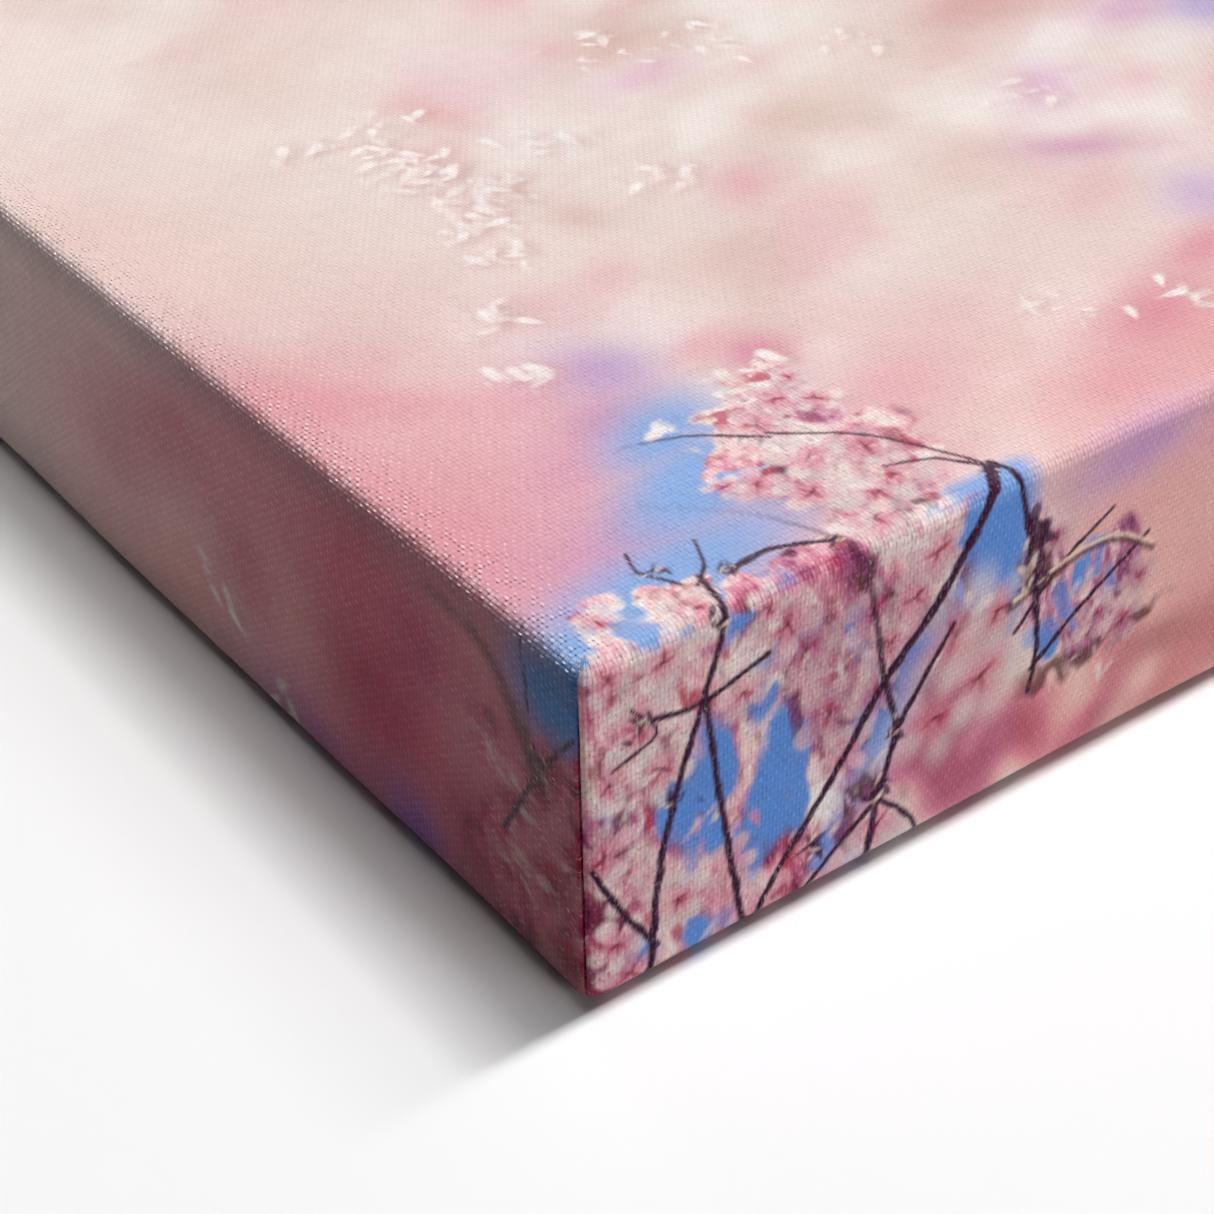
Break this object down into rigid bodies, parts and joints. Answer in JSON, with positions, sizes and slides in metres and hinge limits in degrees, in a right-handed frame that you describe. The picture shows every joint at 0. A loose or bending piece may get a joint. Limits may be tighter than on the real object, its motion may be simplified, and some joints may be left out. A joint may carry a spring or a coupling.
{
  "type": "stretched canvas",
  "caption": "Gallery-wrapped printed canvas on deep wooden stretcher bars, with a stapled back and corner keys that slide out of the mitred joints.",
  "frame": {"origin": "middle of the back, on the plane of the staple crowns that the object lies on", "axes": "+Z out of the picture face, +Y to the edge that hangs uppermost, +X to the right of the picture as seen from its front"},
  "size_m": [0.408, 0.5096, 0.0404],
  "materials": {
    "printed_cotton_canvas": "matt inkjet-coated cotton canvas, plain weave, printed on the face and the sides",
    "pine_bar": "planed softwood, unvarnished",
    "beech_key": "sawn hardwood wedge, unvarnished",
    "galvanised_staple": "flat galvanised staple wire"
  },
  "bodies": {
    "stretched_frame": {"canvas": "printed_cotton_canvas", "bar_bottom": "pine_bar", "bar_right": "pine_bar", "bar_top": "pine_bar", "bar_left": "pine_bar", "staple_bottom_1": "galvanised_staple", "staple_bottom_2": "galvanised_staple", "staple_bottom_3": "galvanised_staple", "staple_bottom_4": "galvanised_staple", "staple_bottom_5": "galvanised_staple", "staple_bottom_6": "galvanised_staple", "staple_bottom_7": "galvanised_staple", "staple_right_1": "galvanised_staple", "staple_right_2": "galvanised_staple", "staple_right_3": "galvanised_staple", "staple_right_4": "galvanised_staple", "staple_right_5": "galvanised_staple", "staple_right_6": "galvanised_staple", "staple_right_7": "galvanised_staple", "staple_right_8": "galvanised_staple", "staple_right_9": "galvanised_staple", "staple_top_1": "galvanised_staple", "staple_top_2": "galvanised_staple", "staple_top_3": "galvanised_staple", "staple_top_4": "galvanised_staple", "staple_top_5": "galvanised_staple", "staple_top_6": "galvanised_staple", "staple_top_7": "galvanised_staple", "staple_left_1": "galvanised_staple", "staple_left_2": "galvanised_staple", "staple_left_3": "galvanised_staple", "staple_left_4": "galvanised_staple", "staple_left_5": "galvanised_staple", "staple_left_6": "galvanised_staple", "staple_left_7": "galvanised_staple", "staple_left_8": "galvanised_staple", "staple_left_9": "galvanised_staple", "staple_corner_bottom_left": "galvanised_staple", "staple_corner_bottom_right": "galvanised_staple", "staple_corner_top_left": "galvanised_staple", "staple_corner_top_right": "galvanised_staple"},
    "key_bottom_left_x": {"key_bottom_left_x": "beech_key"},
    "key_bottom_left_y": {"key_bottom_left_y": "beech_key"},
    "key_bottom_right_x": {"key_bottom_right_x": "beech_key"},
    "key_bottom_right_y": {"key_bottom_right_y": "beech_key"},
    "key_top_left_x": {"key_top_left_x": "beech_key"},
    "key_top_left_y": {"key_top_left_y": "beech_key"},
    "key_top_right_x": {"key_top_right_x": "beech_key"},
    "key_top_right_y": {"key_top_right_y": "beech_key"}
  },
  "joints": [
    {"name": "key_bottom_left_x_slide", "type": "slide", "parent": "stretched_frame", "child": "key_bottom_left_x", "axis": [1, 0, 0], "range_m": [0, 0.026]},
    {"name": "key_bottom_left_y_slide", "type": "slide", "parent": "stretched_frame", "child": "key_bottom_left_y", "axis": [0, 1, 0], "range_m": [0, 0.026]},
    {"name": "key_bottom_right_x_slide", "type": "slide", "parent": "stretched_frame", "child": "key_bottom_right_x", "axis": [-1, 0, 0], "range_m": [0, 0.026]},
    {"name": "key_bottom_right_y_slide", "type": "slide", "parent": "stretched_frame", "child": "key_bottom_right_y", "axis": [0, 1, 0], "range_m": [0, 0.026]},
    {"name": "key_top_left_x_slide", "type": "slide", "parent": "stretched_frame", "child": "key_top_left_x", "axis": [1, 0, 0], "range_m": [0, 0.026]},
    {"name": "key_top_left_y_slide", "type": "slide", "parent": "stretched_frame", "child": "key_top_left_y", "axis": [0, -1, 0], "range_m": [0, 0.026]},
    {"name": "key_top_right_x_slide", "type": "slide", "parent": "stretched_frame", "child": "key_top_right_x", "axis": [-1, 0, 0], "range_m": [0, 0.026]},
    {"name": "key_top_right_y_slide", "type": "slide", "parent": "stretched_frame", "child": "key_top_right_y", "axis": [0, -1, 0], "range_m": [0, 0.026]}
  ]
}
